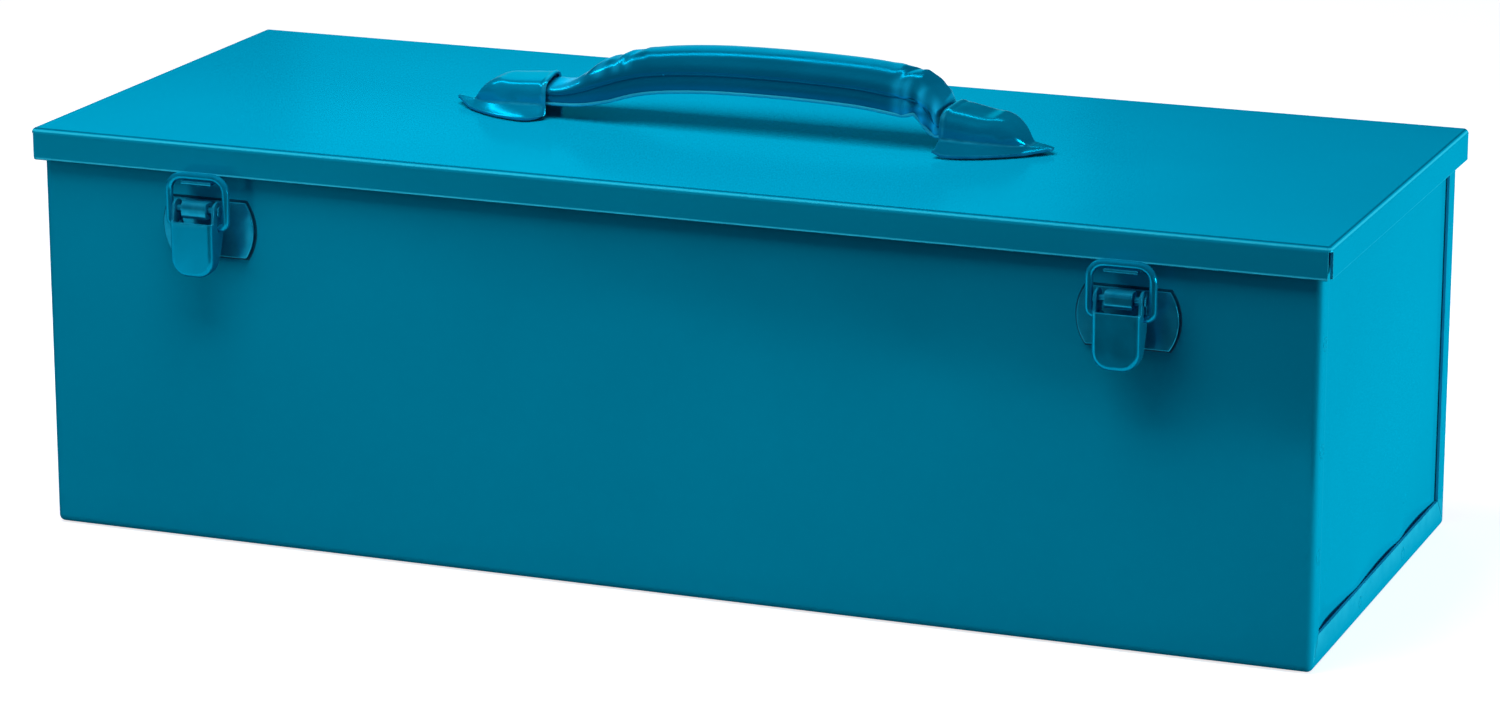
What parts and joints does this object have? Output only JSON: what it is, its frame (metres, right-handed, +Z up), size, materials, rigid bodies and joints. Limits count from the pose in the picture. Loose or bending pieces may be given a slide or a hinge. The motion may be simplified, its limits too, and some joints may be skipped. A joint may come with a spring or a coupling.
{
  "type": "tool case",
  "caption": "Long folded-steel tool case with a hinged lid pan, wire-loop toggle latches on the front and a vinyl-covered strap handle held by pressed caps.",
  "frame": {"origin": "middle of the trough's bottom face", "axes": "+X along the case's length to the right as seen from the front, -Y out of the latch side, +Z up"},
  "size_m": [0.49, 0.21, 0.1805],
  "materials": {
    "paint": "gloss",
    "vinyl": "gloss",
    "steel": "bare"
  },
  "bodies": {
    "case": {"body_trough": "paint", "left_end_panel": "paint", "right_end_panel": "paint", "left_hinge_body_leaf": "paint", "right_hinge_body_leaf": "paint", "left_hinge_pin": "paint", "right_hinge_pin": "paint", "left_latch_base": "paint", "right_latch_base": "paint", "left_latch_pin": "paint", "right_latch_pin": "paint"},
    "lid": {"lid_pan": "paint", "left_hinge_lid_leaf": "paint", "right_hinge_lid_leaf": "paint", "left_keeper": "paint", "right_keeper": "paint", "left_handle_cap": "paint", "right_handle_cap": "paint", "handle_cover": "vinyl", "handle_core": "steel"},
    "left_lever": {"left_latch_lever": "paint"},
    "right_lever": {"right_latch_lever": "paint"},
    "left_loop": {"left_latch_loop": "paint"},
    "right_loop": {"right_latch_loop": "paint"}
  },
  "joints": [
    {"name": "lid_hinge", "type": "hinge", "parent": "case", "child": "lid", "pos_m": [0, 0.0991, 0.138], "axis": [-1, 0, 0], "range_deg": [0, 110]},
    {"name": "left_lever_pivot", "type": "hinge", "parent": "case", "child": "left_lever", "pos_m": [-0.174, -0.1023, 0.1279], "axis": [-1, 0, 0], "range_deg": [0, 120]},
    {"name": "left_loop_pivot", "type": "hinge", "parent": "left_lever", "child": "left_loop", "pos_m": [-0.174, -0.1016, 0.1218], "axis": [-1, 0, 0], "range_deg": [-144, 0]},
    {"name": "right_lever_pivot", "type": "hinge", "parent": "case", "child": "right_lever", "pos_m": [0.174, -0.1023, 0.1279], "axis": [-1, 0, 0], "range_deg": [0, 120]},
    {"name": "right_loop_pivot", "type": "hinge", "parent": "right_lever", "child": "right_loop", "pos_m": [0.174, -0.1016, 0.1218], "axis": [-1, 0, 0], "range_deg": [-144, 0]}
  ],
  "couplings": [
    {"joint": "left_loop_pivot", "follows": "left_lever_pivot", "ratio": -1.2},
    {"joint": "right_loop_pivot", "follows": "right_lever_pivot", "ratio": -1.2}
  ]
}
